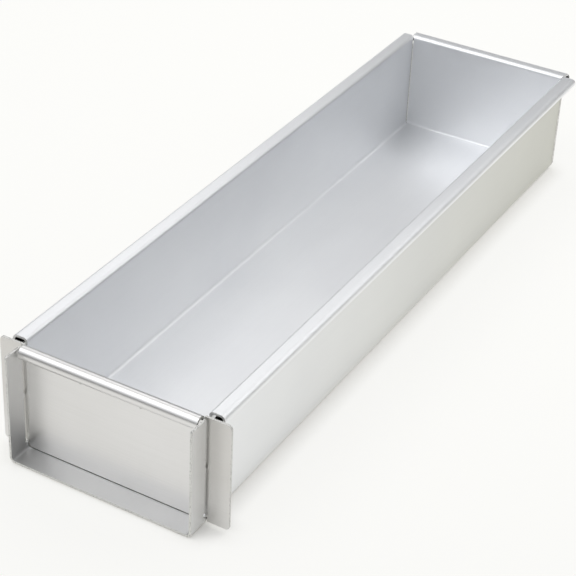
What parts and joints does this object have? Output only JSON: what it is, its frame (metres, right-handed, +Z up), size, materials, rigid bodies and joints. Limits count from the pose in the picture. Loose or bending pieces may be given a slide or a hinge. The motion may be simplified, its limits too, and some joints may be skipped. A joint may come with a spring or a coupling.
{
  "type": "rectangular cheesecake pan",
  "caption": "Long narrow baking pan of folded aluminium sheet with rolled rims, closed at one end by a winged gate that lifts out of wall slots behind an open lip.",
  "frame": {"origin": "centre of the pan's footprint, on the plane that its floor stands on", "axes": "+X across the pan to the right as seen from the gate, +Y from the gate to the end wall, +Z up"},
  "size_m": [0.1294, 0.4292, 0.0635],
  "materials": {
    "tray_sheet": "satin anodised sheet",
    "gate_sheet": "satin anodised sheet",
    "weld_metal": "rippled weld, as laid"
  },
  "bodies": {
    "tray": {"tray": "tray_sheet", "corner_weld_left": "weld_metal", "corner_weld_right": "weld_metal"},
    "gate": {"end_gate": "gate_sheet", "gate_tack_left": "weld_metal", "gate_tack_right": "weld_metal"}
  },
  "joints": [
    {"name": "gate_lift", "type": "slide", "parent": "tray", "child": "gate", "axis": [0, 0, 1], "range_m": [0, 0.07]}
  ]
}
